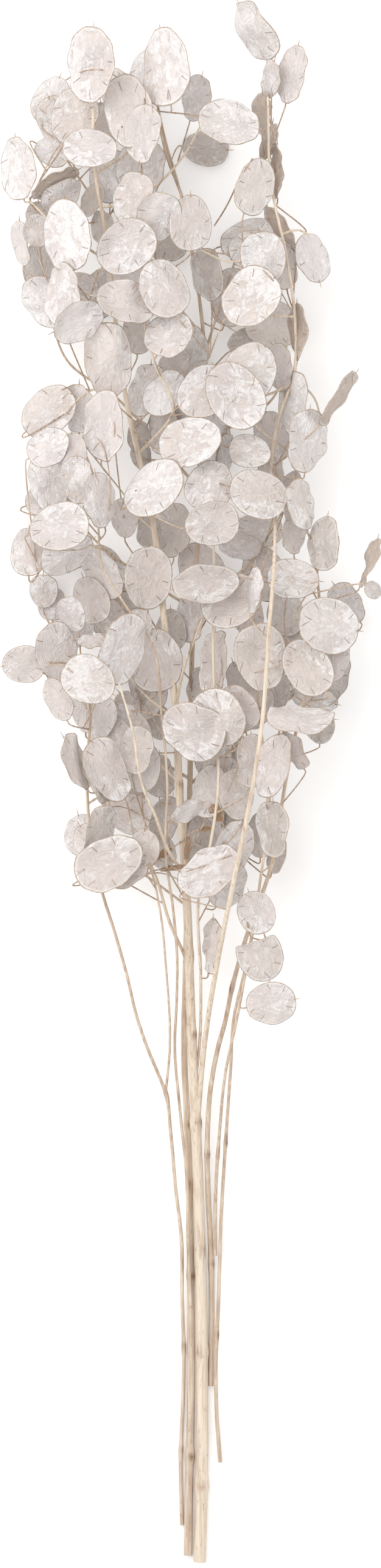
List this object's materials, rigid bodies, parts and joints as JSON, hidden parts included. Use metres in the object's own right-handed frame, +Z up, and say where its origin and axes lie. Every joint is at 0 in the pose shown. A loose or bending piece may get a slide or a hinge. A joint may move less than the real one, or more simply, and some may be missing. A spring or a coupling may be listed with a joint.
{
  "type": "bunch of dried honesty stems with seed pods",
  "caption": "Cut bunch of dried honesty (Lunaria) stems with silvery oval seed pods, lying on its back on a surface.",
  "frame": {"origin": "under the middle of the bunch, on the surface it lies on", "axes": "+Y from the cut ends to the tips, +X to the right as seen from above, +Z up"},
  "size_m": [0.1949, 0.8039, 0.0902],
  "materials": {
    "seed_pod": "pearly, thin and dry",
    "dry_stem": "matte, dry"
  },
  "bodies": {
    "root": {"main_stem": "seed_pod", "second_stem": "seed_pod", "left_stem": "seed_pod", "left_inner_stem": "seed_pod", "right_stem": "seed_pod", "right_outer_stem": "seed_pod", "right_short_stem": "seed_pod"}
  },
  "joints": []
}
